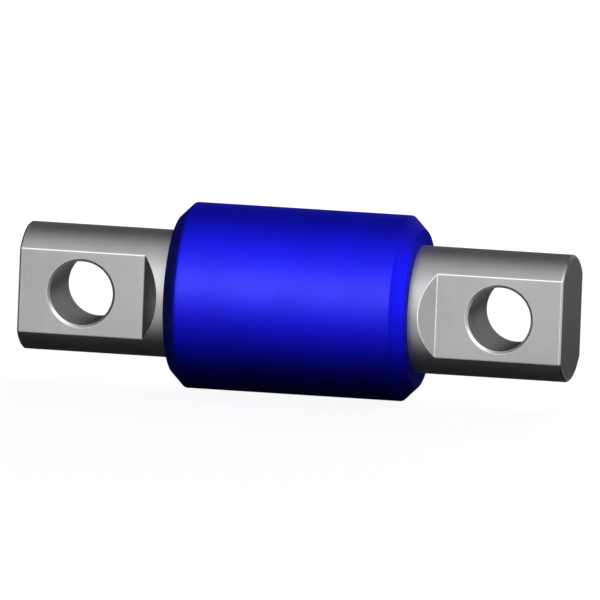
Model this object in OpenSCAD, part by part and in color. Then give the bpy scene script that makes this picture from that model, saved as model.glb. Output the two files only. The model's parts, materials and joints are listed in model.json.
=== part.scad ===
// Torque rod bushing with a straddle bar pin.
// A round steel bar carries two milled flats and one cross-drilled bolt hole at each end.
// A chamfered elastomer sleeve is moulded on to the bar between the flats and bonded to it.
// X runs along the bar, Y through the bolt holes, Z up. The origin is the centre of the part.

/* [Bar pin] */
// Diameter of the round bar
pin_d = 41.3; // [37:0.1:46]
// Thickness of the bar across each pair of flats
flat_t = 31.1; // [27:0.1:35]
// Length of each flat, with its bolt hole in the middle
flat_l = 41.5; // [30:0.5:45]
// Slope of the run-out from each flat up to the round bar, in degrees
runout_angle = 45; // [36:1:70]
// Corner radius that the milling cutter leaves at the foot of the run-out
runout_r = 0.8; // [0.2:0.1:1.5]
// Chamfer around the two ends of the bar
end_chamfer = 0.6; // [0.2:0.1:1.5]
// Width of the edge break along the long edges of the flats
edge_break = 0.7; // [0.3:0.1:1.2]

/* [Bolt holes] */
// Distance between the two bolt holes, centre to centre
bolt_spacing = 138; // [133:0.5:160]
// Diameter of each bolt hole
bolt_hole_d = 20.6; // [16:0.1:23]
// Chamfer at each mouth of a bolt hole
bolt_chamfer = 0.9; // [0.3:0.1:1.3]

/* [Elastomer sleeve] */
// Outer diameter of the sleeve, pressed into the eye of the rod
sleeve_d = 60.2; // [56:0.1:80]
// Length of the sleeve
sleeve_l = 79.8; // [60:0.1:84]
// Lead-in chamfer at each end of the sleeve, at 45 degrees
sleeve_chamfer = 4.5; // [2:0.1:6]
// Moulded radius on the corners of the lead-in chamfers
sleeve_corner_r = 1; // [0.3:0.1:1.5]

/* [Hidden] */
$fn = 96;

pin_r = pin_d / 2;
pin_l = bolt_spacing + flat_l;
flat_y = flat_t / 2;
flat_foot_x = (bolt_spacing - flat_l) / 2;
sleeve_r = sleeve_d / 2;

// Angle about the bar at which a flat meets the round
flat_edge_angle = acos(flat_y / pin_r);
// Distance from the bar's axis to the shallow flat that breaks that edge
break_y = pin_r * cos(flat_edge_angle / 2) - edge_break / 2 * tan(flat_edge_angle / 2);

// Steps in a rounded corner
corner_steps = 6;
// Amount by which a cutter stands clear of the bar
clear = 5;

function unit(v) = v / norm(v);
function angle_of(v) = atan2(v[1], v[0]);

// Points of a corner between two neighbours, rounded to radius r by an arc tangent to both sides
function corner(before, at, after, r) =
    let (
        u = unit(before - at),
        v = unit(after - at),
        half = acos(u * v) / 2,
        centre = at + unit(u + v) * r / sin(half),
        start = angle_of(at + u * r / tan(half) - centre),
        turn = angle_of(at + v * r / tan(half) - centre) - start,
        sweep = turn > 180 ? turn - 360 : turn < -180 ? turn + 360 : turn
    )
    [
        for (i = [0:corner_steps])
            let (angle = start + sweep * i / corner_steps)
            centre + r * [cos(angle), sin(angle)]
    ];

// Outline with every corner rounded to its own radius, a radius of 0 leaving it sharp
function rounded(points, radii) =
    let (n = len(points))
    [
        for (i = [0:n - 1])
            let (
                before = points[(i + n - 1) % n],
                after = points[(i + 1) % n]
            )
            each radii[i] > 0 ? corner(before, points[i], after, radii[i]) : [points[i]]
    ];

// Turns a solid that stands on Z so that it lies along X
module along_x() {
    rotate([0, 90, 0]) children();
}

// Round bar with a chamfer around each end
module round_bar() {
    half = pin_l / 2;
    along_x() rotate_extrude() polygon([
        [0, -half],
        [pin_r - end_chamfer, -half],
        [pin_r, -half + end_chamfer],
        [pin_r, half - end_chamfer],
        [pin_r - end_chamfer, half],
        [0, half]
    ]);
}

// What the milling cutter takes away at the +X end of the bar: the space beyond a flat that lies
// y from the axis, with its run-out at the foot and the chamfer of the bar's end at the tip
module milled_space(y, foot_r) {
    top = pin_r + clear;
    tip = pin_l / 2;
    outline = [
        [flat_foot_x, y],
        [tip - end_chamfer, y],
        [tip + clear, y - end_chamfer - clear],
        [tip + clear, top],
        [flat_foot_x - (top - y) / tan(runout_angle), top]
    ];
    linear_extrude(height = 2 * top, center = true) polygon(rounded(outline, [foot_r, 0, 0, 0, 0]));
}

// Both flats of the +X end, and the four shallow flats that break their long edges
module flats() {
    for (side = [0, 180]) rotate([side, 0, 0]) {
        milled_space(flat_y, runout_r);
        for (tilt = [-1, 1] * flat_edge_angle / 2) rotate([tilt, 0, 0]) milled_space(break_y, 0);
    }
}

// Bolt hole of the +X end, chamfered at both mouths
module bolt_hole() {
    hole_r = bolt_hole_d / 2;
    translate([bolt_spacing / 2, 0, 0]) rotate([90, 0, 0]) {
        cylinder(r = hole_r, h = flat_t + 2 * clear, center = true);
        for (side = [0, 180]) rotate([side, 0, 0])
            translate([0, 0, flat_y - bolt_chamfer])
                cylinder(r1 = hole_r, r2 = hole_r + bolt_chamfer + clear, h = bolt_chamfer + clear);
    }
}

// Steel bar with its flats and bolt holes, one machined piece
module bar_pin() {
    color([0.62, 0.62, 0.63]) difference() {
        round_bar();
        for (end = [0, 180]) rotate([0, 0, end]) {
            flats();
            bolt_hole();
        }
    }
}

// Elastomer sleeve with a lead-in chamfer at each end, bonded to the bar along its whole bore
module bushing() {
    half = sleeve_l / 2;
    lip = sleeve_r - sleeve_chamfer;
    round_r = sleeve_corner_r;
    outline = [
        [pin_r, -half],
        [lip, -half],
        [sleeve_r, -half + sleeve_chamfer],
        [sleeve_r, half - sleeve_chamfer],
        [lip, half],
        [pin_r, half]
    ];
    color([0.04, 0.04, 0.82]) along_x()
        rotate_extrude() polygon(rounded(outline, [0, round_r, round_r, round_r, round_r, 0]));
}

bar_pin();
bushing();
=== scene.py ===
# Torque rod bushing: a machined steel bar pin in a cast blue elastomer sleeve, on a pale studio floor.
# Everything is in metres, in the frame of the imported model: X along the bar, Y through the bolt holes.
import json
import math

import bmesh
import bpy
import numpy as np
from mathutils import Matrix, Vector


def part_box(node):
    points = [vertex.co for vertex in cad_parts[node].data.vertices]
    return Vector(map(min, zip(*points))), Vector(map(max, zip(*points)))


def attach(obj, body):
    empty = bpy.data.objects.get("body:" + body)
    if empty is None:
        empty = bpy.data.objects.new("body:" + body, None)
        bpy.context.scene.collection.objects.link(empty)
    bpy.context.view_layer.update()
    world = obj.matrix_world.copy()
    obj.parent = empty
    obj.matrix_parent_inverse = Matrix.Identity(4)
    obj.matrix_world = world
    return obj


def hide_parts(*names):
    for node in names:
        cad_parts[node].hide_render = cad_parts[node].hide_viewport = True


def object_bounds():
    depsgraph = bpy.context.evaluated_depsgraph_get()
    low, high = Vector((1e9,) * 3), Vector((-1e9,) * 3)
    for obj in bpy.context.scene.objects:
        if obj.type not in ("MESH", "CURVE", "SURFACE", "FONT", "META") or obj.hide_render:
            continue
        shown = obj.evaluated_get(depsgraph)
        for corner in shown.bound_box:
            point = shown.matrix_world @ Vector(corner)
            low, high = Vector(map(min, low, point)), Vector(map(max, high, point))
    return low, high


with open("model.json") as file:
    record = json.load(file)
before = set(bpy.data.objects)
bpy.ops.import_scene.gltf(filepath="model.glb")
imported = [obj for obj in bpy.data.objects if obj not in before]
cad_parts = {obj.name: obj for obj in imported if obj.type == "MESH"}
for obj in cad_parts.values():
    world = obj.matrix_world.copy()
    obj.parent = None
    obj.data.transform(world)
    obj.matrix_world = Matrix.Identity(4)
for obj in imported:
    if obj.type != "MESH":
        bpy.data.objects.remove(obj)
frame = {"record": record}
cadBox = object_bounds()
print("stage: frame loaded")

mm = 0.001
mounts = {mount["name"]: mount for mount in frame["record"]["mounts"]}
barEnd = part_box("bar_pin")[1].x
boltX = mounts["bolt_hole_right"]["pos_m"][0]
boltRadius = mounts["bolt_hole_right"]["dims"]["r_mm"] * mm
flatY = mounts["flat_right_back"]["pos_m"][1]
sleeveRadius = mounts["eye_seat"]["dims"]["r_mm"] * mm
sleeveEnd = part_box("bushing")[1].x


# Curves and grids

def softMin(a, b, reach):
    # The lesser of a and b, rounded by a parabola where they are closer than reach
    share = np.clip(0.5 + 0.5 * (b - a) / reach, 0, 1)
    return b * (1 - share) + a * share - reach * share * (1 - share)


def softMax(a, b, reach):
    # The greater of a and b, rounded in the same way
    return -softMin(-a, -b, reach)


def between(start, stop, shares):
    # Rows of start + (stop - start) * share, one row for each share
    return np.array([start + (stop - start) * share for share in shares])


def roundedPath(points, radius, steps, support):
    # Each inner corner becomes an arc tangent to both sides: centre + the two tangent radii, blended
    # by sin((1 - s) * turn) and sin(s * turn) over sin(turn). A support point stands off each end.
    points = np.asarray(points, float)
    path = [points[:1]]
    for before, at, after in zip(points[:-2], points[1:-1], points[2:]):
        back = (before - at) / np.linalg.norm(before - at)
        ahead = (after - at) / np.linalg.norm(after - at)
        half = math.acos(np.clip(back @ ahead, -1, 1)) / 2
        middle = (back + ahead) / np.linalg.norm(back + ahead)
        centre = at + middle * radius / math.sin(half)
        reach = radius / math.tan(half)
        first = at + back * reach - centre
        last = at + ahead * reach - centre
        turn = math.pi - 2 * half
        share = np.linspace(0, 1, steps + 1)[:, None]
        arc = (np.sin((1 - share) * turn) * first + np.sin(share * turn) * last) / math.sin(turn)
        path += [[at + back * (reach + support)], centre + arc, [at + ahead * (reach + support)]]
    path.append(points[-1:])
    return np.vstack(path)


def gridQuads(rows, columns, closeRows=False):
    # Quads of a grid of rows x columns points, closed round its columns, and its rows too if asked
    row, column = np.meshgrid(
        np.arange(rows if closeRows else rows - 1), np.arange(columns), indexing="ij"
    )
    above, below = row * columns, (row + 1) % rows * columns
    beside = (column + 1) % columns
    return np.stack([above + column, above + beside, below + beside, below + column], -1)


def makePiece(name, points, quads, zones, wear, materials):
    # One closed mesh from arrays: unused points dropped, doubles merged, faces turned outward
    used, numbered = np.unique(quads, return_inverse=True)
    points, wear, quads = points[used], wear[used], numbered.reshape(quads.shape)
    mesh = bpy.data.meshes.new(name)
    mesh.from_pydata(points.tolist(), [], quads.tolist())
    mesh.polygons.foreach_set("material_index", zones.astype(np.int32))
    mesh.attributes.new("wear", "FLOAT", "POINT").data.foreach_set("value", wear.astype(np.float32))
    for material in materials:
        mesh.materials.append(material)
    work = bmesh.new()
    work.from_mesh(mesh)
    bmesh.ops.remove_doubles(work, verts=work.verts, dist=0.0005 * mm)
    bmesh.ops.dissolve_degenerate(work, edges=work.edges, dist=0.0001 * mm)
    bmesh.ops.recalc_face_normals(work, faces=work.faces)
    work.to_mesh(mesh)
    work.free()
    mesh.polygons.foreach_set("use_smooth", np.ones(len(mesh.polygons), bool))
    piece = bpy.data.objects.new(name, mesh)
    bpy.context.scene.collection.objects.link(piece)
    return piece


# Materials

def addNode(tree, kind, values=None, **settings):
    # A shader node with its settings. Each socket gets a value or the output of another node.
    made = tree.nodes.new("ShaderNode" + kind)
    for key, value in settings.items():
        setattr(made, key, value)
    for key, value in (values or {}).items():
        if isinstance(value, bpy.types.NodeSocket):
            tree.links.new(value, made.inputs[key])
        else:
            made.inputs[key].default_value = value
    return made


def calculate(tree, operation, a, b=0.0):
    return addNode(tree, "Math", {0: a, 1: b}, operation=operation).outputs[0]


def ranged(tree, value, low, high):
    # Noise runs from about 0.3 to 0.7: that span is spread over low to high
    span = {"Value": value, "From Min": 0.3, "From Max": 0.7, "To Min": low, "To Max": high}
    return addNode(tree, "MapRange", span).outputs[0]


def noise(tree, coordinates, size, detail):
    # Soft noise whose features are about size across
    made = addNode(tree, "TexNoise", {"Vector": coordinates, "Scale": 1 / size, "Detail": detail})
    return made.outputs["Fac"]


def blend(tree, share, first, second):
    # From the first colour to the second. Either may be three numbers or another node's output.
    sockets = {"Factor": share}
    for key, end in (("A", first), ("B", second)):
        sockets[key] = end if isinstance(end, bpy.types.NodeSocket) else (*end, 1)
    return addNode(tree, "Mix", sockets, data_type="RGBA").outputs["Result"]


def newMaterial(name):
    material = bpy.data.materials.new(name)
    material.use_nodes = True
    return material, material.node_tree, material.node_tree.nodes["Principled BSDF"]


steel = {
    "colour": (0.56, 0.56, 0.565),
    "dull": (0.47, 0.47, 0.475),    # where handling and coolant have left a film
    "bright": (0.72, 0.72, 0.72),   # worn edges
    "roughness": (0.36, 0.46),      # of the turned round
    "filmRough": 0.03,              # what the film adds to the roughness or takes off
    "filmSize": 18 * mm,
    "grainSize": 0.4 * mm,
    "grainShare": 0.25,             # height of the grain against the tool marks
    "markDepth": 0.012 * mm,
    "cutter": 38 * mm,              # radius of the face mill
    "finishes": {
        # distance between tool marks, what is added to the roughness, and the share of the colour kept,
        # below 1 where shade is painted
        "turned": (0.35 * mm, 0.0, 1.0),
        "milled": (0.55 * mm, -0.17, 1.0),
        "bored": (0.3 * mm, -0.12, 1.0),
        # the end faces keep only part of the colour: painted shade, darker as faces turned away from the
        # light are
        "faced": (0.4 * mm, 0.0, 0.64),
    },
}


def alongBar(tree, place):
    # Turned lines run round the bar, so they change with x
    return place.outputs["X"]


def cutterArc(tree, place):
    # A face mill leaves arcs of its own radius, one after another along x: x - sqrt(radius^2 - z^2)
    squared = calculate(tree, "MULTIPLY", place.outputs["Z"], place.outputs["Z"])
    drop = calculate(tree, "SQRT", calculate(tree, "SUBTRACT", steel["cutter"] ** 2, squared))
    return calculate(tree, "SUBTRACT", place.outputs["X"], drop)


def boreDepth(tree, place):
    # A reamer leaves rings down the hole, so they change with y
    return place.outputs["Y"]


def faceRadius(tree, place):
    # A facing cut leaves rings about the bar's axis: sqrt(y^2 + z^2)
    y = calculate(tree, "MULTIPLY", place.outputs["Y"], place.outputs["Y"])
    z = calculate(tree, "MULTIPLY", place.outputs["Z"], place.outputs["Z"])
    return calculate(tree, "SQRT", calculate(tree, "ADD", y, z))


def machinedSteel(name, finish, markCoordinate):
    # Bright steel with tool marks: one-dimensional noise along markCoordinate, one mark each pitch.
    # A thin film dulls it in patches, and the wear attribute brightens its edges.
    pitch, rougher, shadeTone = steel["finishes"][finish]
    # The colour and the film's colour are scaled by the finish's share, which paints shade on the end
    # faces
    colour, dull = ([channel * shadeTone for channel in steel[key]] for key in ("colour", "dull"))
    material, tree, shader = newMaterial(name)
    coordinates = addNode(tree, "TexCoord").outputs["Object"]
    place = addNode(tree, "SeparateXYZ", {0: coordinates})
    film = noise(tree, coordinates, steel["filmSize"], 4.0)
    grain = noise(tree, coordinates, steel["grainSize"], 2.0)
    along = calculate(tree, "DIVIDE", markCoordinate(tree, place), pitch)
    marks = addNode(
        tree, "TexNoise", {"W": along, "Scale": 1.0, "Detail": 3.0}, noise_dimensions="1D"
    ).outputs["Fac"]

    toned = blend(tree, ranged(tree, film, 0.0, 1.0), colour, dull)
    worn = addNode(tree, "Attribute", attribute_name="wear").outputs["Fac"]
    edged = blend(tree, worn, toned, steel["bright"])
    low, high = (value + rougher for value in steel["roughness"])
    filmRough = ranged(tree, film, -steel["filmRough"], steel["filmRough"])
    rough = calculate(tree, "ADD", ranged(tree, marks, low, high), filmRough)
    height = calculate(tree, "ADD", marks, calculate(tree, "MULTIPLY", grain, steel["grainShare"]))
    relief = {"Height": height, "Distance": steel["markDepth"], "Strength": 1.0}
    bump = addNode(tree, "Bump", relief)

    tree.links.new(edged, shader.inputs["Base Color"])
    tree.links.new(rough, shader.inputs["Roughness"])
    tree.links.new(bump.outputs["Normal"], shader.inputs["Normal"])
    shader.inputs["Metallic"].default_value = 1.0
    return material


elastomer = {
    "colour": (0.003, 0.004, 0.90),
    "deep": (0.002, 0.003, 0.74),
    "side": ((0.52, 0.60), 0.25),   # roughness and gloss of the side and the chamfers
    "ends": ((0.62, 0.70), 0.12),   # and of the end faces, which are more matt
    "cloudSize": 18 * mm,           # patches of slightly deeper colour
    "skinSize": 1.3 * mm,           # the soft unevenness of a cast skin
    "skinDepth": 0.05 * mm,
    "poreSize": 0.38 * mm,
    "poreShare": 0.3,               # height of the pores against the skin's
    "poreRough": 0.4,               # their share in the roughness, the rest being the clouds'
}


def castElastomer(name, roughness, gloss):
    # Saturated blue polyurethane: two depths of colour in soft clouds, a cast skin and fine pores
    material, tree, shader = newMaterial(name)
    coordinates = addNode(tree, "TexCoord").outputs["Object"]
    cloud = noise(tree, coordinates, elastomer["cloudSize"], 3.0)
    skin = noise(tree, coordinates, elastomer["skinSize"], 2.0)
    pores = noise(tree, coordinates, elastomer["poreSize"], 2.0)

    toned = blend(tree, ranged(tree, cloud, 0.0, 1.0), elastomer["colour"], elastomer["deep"])
    height = calculate(tree, "ADD", skin, calculate(tree, "MULTIPLY", pores, elastomer["poreShare"]))
    relief = {"Height": height, "Distance": elastomer["skinDepth"], "Strength": 1.0}
    bump = addNode(tree, "Bump", relief)
    uneven = calculate(
        tree, "ADD",
        calculate(tree, "MULTIPLY", cloud, 1 - elastomer["poreRough"]),
        calculate(tree, "MULTIPLY", pores, elastomer["poreRough"]),
    )

    tree.links.new(toned, shader.inputs["Base Color"])
    tree.links.new(ranged(tree, uneven, *roughness), shader.inputs["Roughness"])
    tree.links.new(bump.outputs["Normal"], shader.inputs["Normal"])
    shader.inputs["IOR"].default_value = 1.5
    shader.inputs["Specular IOR Level"].default_value = gloss
    return material


# Bar pin

bar = {
    "radius": 20.65 * mm,
    "runout": math.radians(45),     # slope from the flat up to the round
    "edgeSoft": 0.24 * mm,          # reach of the rounding along every outer edge
    "footSoft": 0.35 * mm,          # reach of the fillet at the foot of the run-out
    "endChamfer": 0.6 * mm,
    "boltChamfer": 0.9 * mm,
    "cornerRadius": 0.25 * mm,      # on both corners of each chamfer
    "cornerSteps": 5,
    "patch": 12.3 * mm,             # half width of the square of mesh about each bolt hole
    "cells": 32,                    # quads along one side of that square
    "edgeLines": 15,                # mesh lines over each long edge of a flat
    "roundLines": 23,               # and from there to the top of the round
    "wallRings": 11,                # rings down a bolt hole
    "zones": {"turned": 0, "milled": 1, "bored": 2, "faced": 3},
}


def sectionRadius(angle, flatDistance, inset):
    # Radius of the bar's section at an angle from Y: the lesser of the bar's radius and
    # flatDistance / |cos|, with the edge between them rounded. inset draws the outline in.
    cosine = np.maximum(np.abs(np.cos(angle)), 1e-9)
    return softMin(bar["radius"] - inset, (flatDistance - inset) / cosine, bar["edgeSoft"])


def barColumns():
    # Angles of the mesh lines along the bar, from -Y up through +Z: at z = patch * tan(even angles)
    # across a flat, close together over the flat's long edge, and even in angle over the round
    half = bar["cells"] // 2
    across = np.arctan(bar["patch"] * np.tan(np.linspace(0, math.pi / 4, half + 1)) / flatY)
    edge = math.acos(flatY / bar["radius"])
    overEdge = edge + np.radians(np.linspace(-1.1, 1.7, bar["edgeLines"]))
    lead = between(across[-1], overEdge[0], [0.4, 0.8])
    roundPart = np.linspace(overEdge[-1], math.pi / 2, bar["roundLines"] + 1)[1:]
    quarter = np.concatenate([across, lead, overEdge, roundPart])
    half = np.concatenate([quarter[:-1], math.pi - quarter[:0:-1]])
    return np.concatenate([half, math.pi + half])


def barRows(angle):
    # x of each mesh line round the bar, for every angle, and its inset. The lines crowd at the foot
    # of the run-out and along its curved edge, x = foot - (radius * cos - flat) / tan(runout).
    footX = 2 * boltX - barEnd
    soft, footSoft = bar["edgeSoft"], bar["footSoft"]
    rise = bar["radius"] * np.abs(np.cos(angle)) - flatY
    gap = softMax(rise, 0.3 * mm, 0.2 * mm) / math.tan(bar["runout"])
    arcX = footX - gap
    arcBand = np.minimum(soft, 0.35 * gap)
    footBand = np.minimum(footSoft, 0.35 * gap)
    ones = np.ones_like(angle)
    startX = footX - (bar["radius"] - flatY) / math.tan(bar["runout"]) - 2 * mm
    over = np.linspace(-1.3, 1.3, 13)
    square = boltX + bar["patch"] * np.tan(np.linspace(-math.pi / 4, math.pi / 4, bar["cells"] + 1))
    chamfer = bar["endChamfer"]
    edgePath = roundedPath(
        [
            (barEnd - 2 * chamfer, 0),
            (barEnd - chamfer, 0),
            (barEnd, chamfer),
            (barEnd, 1.8 * chamfer),
        ],
        bar["cornerRadius"], bar["cornerSteps"], 0.05 * mm,
    )
    rows = [
        between(0 * ones, startX * ones, [0.0, 0.3, 0.6, 0.8, 0.9, 1.0]),
        between(startX * ones, arcX - 1.3 * arcBand, [0.3, 0.6, 0.85]),
        arcX + arcBand * over[:, None],
        between(arcX + 1.3 * arcBand, footX - 1.3 * footBand, [0.15, 0.32, 0.5, 0.68, 0.85]),
        footX + footBand * over[:6, None],
        footX + footSoft * ones * over[6:, None],
        between((footX + 1.3 * footSoft) * ones, square[0] * ones, [0.15, 0.4, 0.7]),
        square[:, None] * ones,
        between(square[-1] * ones, edgePath[0, 0] * ones, [0.3, 0.6, 0.85]),
        edgePath[:, :1] * ones,
    ]
    x = np.vstack(rows)
    inset = np.zeros(len(x))
    inset[-len(edgePath):] = edgePath[:, 1]
    squareStart = sum(len(part) for part in rows[:7])
    return x, inset, squareStart


def barSkin():
    # Outside of the bar with its two end faces: point = (x, -radius * cos, radius * sin), where
    # sectionRadius gives the radius and the flat's distance climbs the run-out as foot - x grows
    angle = barColumns()
    x, inset, squareStart = barRows(angle)
    footX = 2 * boltX - barEnd
    climb = flatY + (footX - x) * math.tan(bar["runout"])
    flatDistance = softMax(flatY, climb, bar["footSoft"] * math.tan(bar["runout"]))
    radius = sectionRadius(angle, flatDistance, inset[:, None])
    centreShares = np.array([0.96, 0.85, 0.6, 0.3, 0.0])[:, None]     # the end face closes on the axis
    radius = np.vstack([radius, radius[-1] * centreShares])
    x = np.vstack([x, np.repeat(x[-1:], len(centreShares), 0)])
    depth = np.vstack([flatDistance, np.repeat(flatDistance[-1:], len(centreShares), 0)])

    # Edge wear is strongest where the round and the flat pull the surface equally
    pull = np.abs(bar["radius"] - depth / np.maximum(np.abs(np.cos(angle)), 1e-9)) / bar["edgeSoft"]
    atChamfer = np.abs(barEnd - bar["endChamfer"] / 2 - x) / (0.5 * mm)
    wear = np.clip(1 - np.minimum(pull, atChamfer), 0, 1)
    wear[-len(centreShares):] = 0

    half = np.stack([x, -radius * np.cos(angle), radius * np.sin(angle)], -1)
    other = half[::-1] * (-1, 1, 1)
    points = np.concatenate([other[:-1], half])
    wear = np.concatenate([wear[::-1][:-1], wear])
    rows, columns = points.shape[:2]
    quads = gridQuads(rows, columns)

    # Cells inside the four squares are left out, for the bolt holes' own mesh
    cells = bar["cells"]
    middle = len(half) - 1
    keep = np.ones(quads.shape[:2], bool)
    nearFront = (np.arange(columns) + cells // 2) % columns < cells
    nearBack = np.roll(nearFront, columns // 2)
    inColumn = nearFront | nearBack
    for start in (middle + squareStart, middle - squareStart - cells):
        keep[start:start + cells, inColumn] = False

    endRows = len(centreShares) + 3
    onFlat = (bar["radius"] - np.hypot(points[..., 1], points[..., 2])) > 0.02 * mm
    zones = np.where(onFlat[:-1] & onFlat[1:], bar["zones"]["milled"], bar["zones"]["turned"])
    zones[:endRows] = bar["zones"]["faced"]
    zones[-endRows:] = bar["zones"]["faced"]
    return points.reshape(-1, 3), quads[keep], zones[keep], wear.ravel()


def boltHole(side):
    # Bolt hole from one flat to the other: rings of points (x + r * cos, y, r * sin). In the flats
    # r runs out from the chamfer to the square, whose ring is patch / max(|cos|, |sin|).
    cells = 4 * bar["cells"]
    turn = np.arange(cells) * 2 * math.pi / cells
    squareRing = bar["patch"] / np.maximum(np.abs(np.cos(turn)), np.abs(np.sin(turn)))
    chamfer = bar["boltChamfer"]
    mouth = boltRadius + chamfer
    path = roundedPath(
        [
            (mouth + 0.6 * mm, -flatY),
            (mouth, -flatY),
            (boltRadius, chamfer - flatY),
            (boltRadius, 2.5 * chamfer - flatY),
        ],
        bar["cornerRadius"], bar["cornerSteps"], 0.05 * mm,
    )
    collar = between(squareRing, np.full(cells, path[0, 0]), [0.0, 0.35, 0.7])
    wall = between(path[-1, 1], -path[-1, 1], np.linspace(0, 1, bar["wallRings"] + 2)[1:-1])
    mouthRings = np.vstack([collar, path[:, :1] * np.ones(cells)])
    ring = np.vstack([mouthRings, np.full((len(wall), cells), boltRadius), mouthRings[::-1]])
    mouthDepth = np.concatenate([np.full(len(collar), -flatY), path[:, 1]])
    depth = np.concatenate([mouthDepth, wall, -mouthDepth[::-1]])
    points = np.stack([
        side * boltX + ring * np.cos(turn),
        depth[:, None] * np.ones(cells),
        ring * np.sin(turn),
    ], -1)
    quads = gridQuads(len(points), cells)
    fromFlat = flatY - np.abs(depth)
    fromChamfer = np.hypot(ring - boltRadius - chamfer / 2, fromFlat[:, None] - chamfer / 2)
    wear = 0.6 * np.clip(1 - fromChamfer / (1.2 * chamfer), 0, 1)
    bored = (fromFlat[:-1] > 1e-7) | (fromFlat[1:] > 1e-7)
    zones = np.where(bored, bar["zones"]["bored"], bar["zones"]["milled"])
    zones = np.repeat(zones[:, None], cells, 1)
    return points.reshape(-1, 3), quads.reshape(-1, 4), zones.ravel(), wear.ravel()


def makeBarPin():
    parts = [barSkin(), boltHole(1), boltHole(-1)]
    offsets = np.cumsum([0] + [len(part[0]) for part in parts[:-1]])
    points = np.concatenate([part[0] for part in parts])
    quads = np.concatenate([part[1] + offset for part, offset in zip(parts, offsets)])
    zones = np.concatenate([part[2] for part in parts])
    wear = np.concatenate([part[3] for part in parts])
    materials = [
        machinedSteel("steelTurned", "turned", alongBar),
        machinedSteel("steelMilled", "milled", cutterArc),
        machinedSteel("steelBored", "bored", boreDepth),
        # its darker colour is painted shade on the end faces
        machinedSteel("steelFacedShaded", "faced", faceRadius),
    ]
    piece = makePiece("barPin", points, quads, zones, wear, materials)
    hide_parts("bar_pin")
    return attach(piece, "root")


# Elastomer sleeve

sleeve = {
    "chamfer": 4.5 * mm,
    "cornerRadius": 0.8 * mm,
    "lipRadius": 0.35 * mm,     # rolled edge where the end face meets the bar
    "endDepth": 0.3 * mm,       # how far in from its end the sleeve is as matt as its end face
    "segments": 224,
}


def makeSleeve():
    # A profile of (x, r) points carried round X: (x, -r * cos, r * sin). The profile is the closed
    # section of the sleeve, with rounded corners and a small rolled lip against the bar.
    chamfer, bore, lip = sleeve["chamfer"], bar["radius"], sleeve["lipRadius"]
    outer = roundedPath(
        [
            (0, sleeveRadius),
            (sleeveEnd - chamfer, sleeveRadius),
            (sleeveEnd, sleeveRadius - chamfer),
            (sleeveEnd, bore + 2 * lip),
        ],
        sleeve["cornerRadius"], 8, 0.1 * mm,
    )
    inner = roundedPath([(sleeveEnd, bore + 2 * lip), (sleeveEnd, bore), (0, bore)], lip, 6, 0.05 * mm)
    extra = between(outer[0], outer[1], [0.3, 0.6, 0.85])
    side = np.vstack([outer[:1], extra, outer[1:], inner[1:]])
    profile = np.vstack([side, side[-2:0:-1] * (-1, 1)])
    turn = np.arange(sleeve["segments"]) * 2 * math.pi / sleeve["segments"]
    ones = np.ones_like(turn)
    points = np.stack([
        profile[:, :1] * ones,
        -profile[:, 1:] * np.cos(turn),
        profile[:, 1:] * np.sin(turn),
    ], -1)
    quads = gridQuads(len(profile), len(turn), closeRows=True).reshape(-1, 4)
    points = points.reshape(-1, 3)
    atEnd = np.abs(points[quads, 0]).min(1) > sleeveEnd - sleeve["endDepth"]
    materials = [
        castElastomer("blueElastomer", *elastomer["side"]),
        castElastomer("blueElastomerEnds", *elastomer["ends"]),
    ]
    piece = makePiece("elastomerSleeve", points, quads, atEnd, np.zeros(len(points)), materials)
    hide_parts("bushing")
    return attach(piece, "root")


barPin = makeBarPin()
print("stage: bar pin,", len(barPin.data.polygons), "faces")
elastomerSleeve = makeSleeve()
print("stage: elastomer sleeve,", len(elastomerSleeve.data.polygons), "faces")


# Studio

studio = {
    "floorHalf": 6.0,
    "floorAlbedo": 0.02,            # what the floor throws back at the part
    "floorSeen": 0.35,              # its colour to the camera, which shows the shadow
    "floorLift": (0.93, 1.0),       # glow to the camera, near the part and from floorClear on
    "floorClear": (0.15, 0.7),
    "fill": 0.035,                  # world light on rough surfaces
    "glossLow": 0.01,               # what polished surfaces see of the dark side of the studio
    "glossHigh": 0.72,              # and of its bright side, in the direction brightSide
    "brightSide": (33, 32),
    "glossEdge": (-0.14, 0.62),
    "windows": [
        # soft bright patches: brightness, direction, and the cosines at their rim and in their middle
        (1.04, (-4, 30), (0.78, 1.0)),      # above the camera
        (1.40, (64, 46), (0.72, 1.0)),      # high at the right, for the far ends and upper edges
        (1.60, (33, -7), (0.93, 1.0)),      # narrow, for the curved edges and feet of the run-outs
        (0.22, (170, 12), (0.88, 1.0)),     # behind, for the walls of the bolt holes
        (0.13, (122, -16), (0.80, 1.0)),    # dim ones low at the back and the left, for the far side
        (0.22, (180, -35), (0.90, 1.0)),
        (0.20, (242, -14), (0.76, 1.0)),
    ],
    "lamps": {
        # azimuth, elevation, distance, width, height, watts
        "topSoft": (160, 68, 0.9, 0.6, 0.5, 0.8),
        "rearSoft": (176, 25, 1.0, 0.7, 0.5, 3.5),
    },
}

key = {
    "azimuth": 0,
    "elevation": 21,
    "distance": 0.35,
    "left": -0.0354,        # edges of the beam across it, from the line to the part's centre
    "right": 0.060,
    "reach": 0.0315,        # half height, over which the light fades to nothing
    "spread": 0.6,          # degrees
    "watts": 0.0206,
    "chamferGain": 0.4,     # share added beyond the sleeve's right shoulder, where the skin faces away
}


def direction(azimuth, elevation):
    # Unit vector from the part towards a place. Azimuth 0 is in front, 90 at the right.
    a, e = math.radians(azimuth), math.radians(elevation)
    return Vector((math.sin(a) * math.cos(e), -math.cos(a) * math.cos(e), math.sin(e)))


def dotWith(tree, vector, fixed):
    # How far a vector reaches along a fixed one: their dot product
    return addNode(tree, "VectorMath", {0: vector, 1: fixed}, operation="DOT_PRODUCT").outputs["Value"]


def smoothRange(tree, value, edge, low, high):
    # From low to high as value crosses edge, eased at both ends
    span = {"Value": value, "From Min": edge[0], "From Max": edge[1], "To Min": low, "To Max": high}
    return addNode(tree, "MapRange", span, interpolation_type="SMOOTHSTEP").outputs[0]


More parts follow.
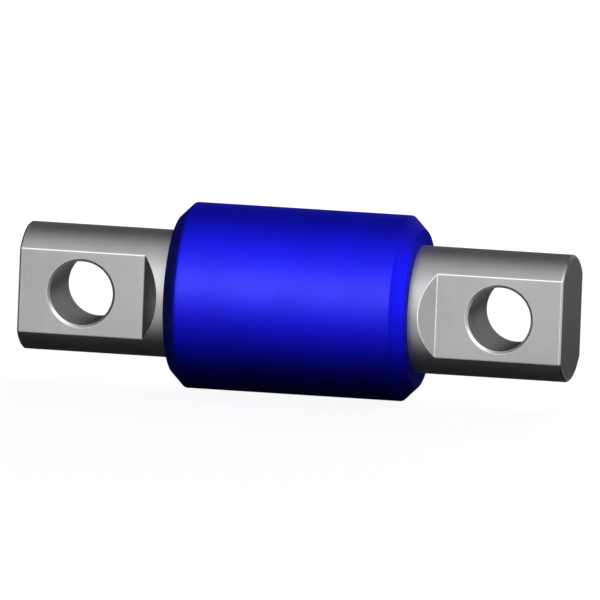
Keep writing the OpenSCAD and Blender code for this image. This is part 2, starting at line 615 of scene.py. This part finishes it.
def glossGlow(tree, towards):
    # Brightness that polished surfaces see in a direction: a broad bright side, and windows added to it
    side = dotWith(tree, towards, direction(*studio["brightSide"]))
    glow = smoothRange(tree, side, studio["glossEdge"], studio["glossLow"], studio["glossHigh"])
    for brightness, middle, edge in studio["windows"]:
        pane = smoothRange(tree, dotWith(tree, towards, direction(*middle)), edge, 0.0, brightness)
        glow = calculate(tree, "ADD", glow, pane)
    return glow


def makeWorld():
    # White to the camera and through glass, glossGlow in reflections, a dim fill on rough surfaces
    world = bpy.data.worlds.new("studio")
    world.use_nodes = True
    world.cycles.sampling_method = "NONE"
    tree = world.node_tree
    path = addNode(tree, "LightPath").outputs
    glow = glossGlow(tree, addNode(tree, "TexCoord").outputs["Generated"])
    shares = {"Factor": path["Is Glossy Ray"], "A": studio["fill"], "B": glow}
    reflected = addNode(tree, "Mix", shares).outputs[0]
    seen = calculate(tree, "MAXIMUM", path["Is Camera Ray"], path["Is Transmission Ray"])
    strength = calculate(tree, "MAXIMUM", seen, reflected)
    tree.links.new(strength, tree.nodes["Background"].inputs["Strength"])
    tree.nodes["Background"].inputs["Color"].default_value = (1, 1, 1, 1)
    bpy.context.scene.world = world


def makeFloor():
    # A plain plane under the sleeve. Seen from below it is clear, so that the part's underside shows.
    # In reflections it glows as the world does, in the direction from the nearest point of the bar.
    half, height = studio["floorHalf"], cadBox[0].z
    corners = [(x * half, y * half, height) for x, y in ((-1, -1), (1, -1), (1, 1), (-1, 1))]
    mesh = bpy.data.meshes.new("floor")
    mesh.from_pydata(corners, [], [(0, 1, 2, 3)])
    material = bpy.data.materials.new("floorPaper")
    material.use_nodes = True
    material.cycles.emission_sampling = "NONE"
    tree = material.node_tree
    tree.nodes.remove(tree.nodes["Principled BSDF"])
    path = addNode(tree, "LightPath").outputs
    geometry = addNode(tree, "NewGeometry").outputs
    seen = calculate(tree, "MAXIMUM", path["Is Camera Ray"], path["Is Transmission Ray"])
    shares = {"Factor": seen, "A": studio["floorAlbedo"], "B": studio["floorSeen"]}
    albedo = addNode(tree, "Mix", shares).outputs[0]
    spot = geometry["Position"]
    away = addNode(tree, "VectorMath", {0: spot}, operation="LENGTH").outputs["Value"]
    lift = smoothRange(tree, away, studio["floorClear"], *studio["floorLift"])
    place = addNode(tree, "SeparateXYZ", {0: spot}).outputs
    beside = addNode(tree, "Clamp", {"Value": place["X"], "Min": -barEnd, "Max": barEnd}).outputs[0]
    nearest = addNode(tree, "CombineXYZ", {"X": beside}).outputs[0]
    offset = addNode(tree, "VectorMath", {0: spot, 1: nearest}, operation="SUBTRACT").outputs[0]
    towards = addNode(tree, "VectorMath", {0: offset}, operation="NORMALIZE").outputs["Vector"]
    glow = calculate(tree, "MULTIPLY", path["Is Glossy Ray"], glossGlow(tree, towards))
    strength = calculate(tree, "ADD", calculate(tree, "MULTIPLY", seen, lift), glow)
    paper = addNode(tree, "BsdfDiffuse", {"Color": albedo})
    light = addNode(tree, "Emission", {"Strength": strength})
    lit = addNode(tree, "AddShader", {0: paper.outputs[0], 1: light.outputs[0]})
    clear = addNode(tree, "BsdfTransparent")
    sides = {0: geometry["Backfacing"], 1: lit.outputs[0], 2: clear.outputs[0]}
    mixed = addNode(tree, "MixShader", sides)
    tree.links.new(mixed.outputs[0], tree.nodes["Material Output"].inputs["Surface"])
    mesh.materials.append(material)
    floor = bpy.data.objects.new("floor", mesh)
    bpy.context.scene.collection.objects.link(floor)


def makeLamps():
    # Lamps light the rough surfaces. They stay out of reflections, where the studio's glow is seen.
    for name, (azimuth, elevation, distance, width, height, watts) in studio["lamps"].items():
        light = bpy.data.lights.new(name, "AREA")
        light.shape = "RECTANGLE"
        light.size, light.size_y = width, height
        light.energy = watts
        lamp = bpy.data.objects.new(name, light)
        towards = direction(azimuth, elevation)
        lamp.location = towards * distance
        lamp.rotation_mode = "QUATERNION"
        lamp.rotation_quaternion = (-towards).to_track_quat("-Z", "Y")
        lamp.visible_glossy = False
        bpy.context.scene.collection.objects.link(lamp)


def makeKey():
    # A near-parallel beam on the sleeve alone, which gives its long soft highlight. At a height v from
    # its middle it has the strength (1 - (v / reach)^2)^2, with chamferGain added at the right.
    light = bpy.data.lights.new("keyBeam", "AREA")
    light.shape = "RECTANGLE"
    light.size, light.size_y = key["right"] - key["left"], 2 * key["reach"]
    light.spread = math.radians(key["spread"])
    light.energy = key["watts"]
    towards = direction(key["azimuth"], key["elevation"])
    across = Vector((0, 0, 1)).cross(towards).normalized()
    upright = towards.cross(across)
    lamp = bpy.data.objects.new("keyBeam", light)
    lamp.matrix_world = Matrix((across, upright, towards)).transposed().to_4x4()
    lamp.location = towards * key["distance"] + across * (key["left"] + key["right"]) / 2
    receivers = bpy.data.collections.new("beamReceivers")
    receivers.objects.link(elastomerSleeve)
    lamp.light_linking.receiver_collection = receivers
    light.use_nodes = True
    tree = light.node_tree
    place = addNode(tree, "NewGeometry").outputs["Position"]
    share = calculate(tree, "DIVIDE", dotWith(tree, place, upright), key["reach"])
    rest = calculate(tree, "SUBTRACT", 1.0, calculate(tree, "MULTIPLY", share, share))
    fade = calculate(tree, "MULTIPLY", rest, rest)
    shoulder = sleeveEnd - sleeve["chamfer"]
    gain = smoothRange(
        tree, dotWith(tree, place, across), (shoulder, shoulder + mm), 1.0, 1.0 + key["chamferGain"]
    )
    strength = calculate(tree, "MULTIPLY", fade, gain)
    tree.links.new(strength, tree.nodes["Emission"].inputs["Strength"])
    bpy.context.scene.collection.objects.link(lamp)


camera = {
    "azimuth": 11.65,
    "elevation": 6.69,
    "roll": 2.225,              # degrees that the part leans clockwise in the picture
    "width": 0.19368,           # of the part's own space across the picture
    "centre": (299.8, 301.5),   # pixel of the part's centre in the picture
    "picture": 600,
    "distance": 3.0,
}


def makeCamera():
    # A parallel view: right, up and back axes from the azimuth and elevation, then turned by the roll
    back = direction(camera["azimuth"], camera["elevation"])
    level = Vector((0, 0, 1)).cross(back).normalized()
    upright = back.cross(level)
    roll = math.radians(camera["roll"])
    right = level * math.cos(roll) + upright * math.sin(roll)
    up = upright * math.cos(roll) - level * math.sin(roll)
    pixel = camera["width"] / camera["picture"]
    aside = camera["picture"] / 2 - camera["centre"][0]
    above = camera["centre"][1] - camera["picture"] / 2
    lens = bpy.data.cameras.new("camera")
    lens.type = "ORTHO"
    lens.ortho_scale = camera["width"]
    lens.clip_end = 100
    seat = bpy.data.objects.new("camera", lens)
    seat.matrix_world = Matrix((right, up, back)).transposed().to_4x4()
    seat.location = back * camera["distance"] + (right * aside + up * above) * pixel
    bpy.context.scene.collection.objects.link(seat)
    bpy.context.scene.camera = seat


makeWorld()
makeFloor()
makeLamps()
makeKey()
makeCamera()
bpy.context.scene.view_settings.view_transform = "Standard"
print("stage: studio ready")
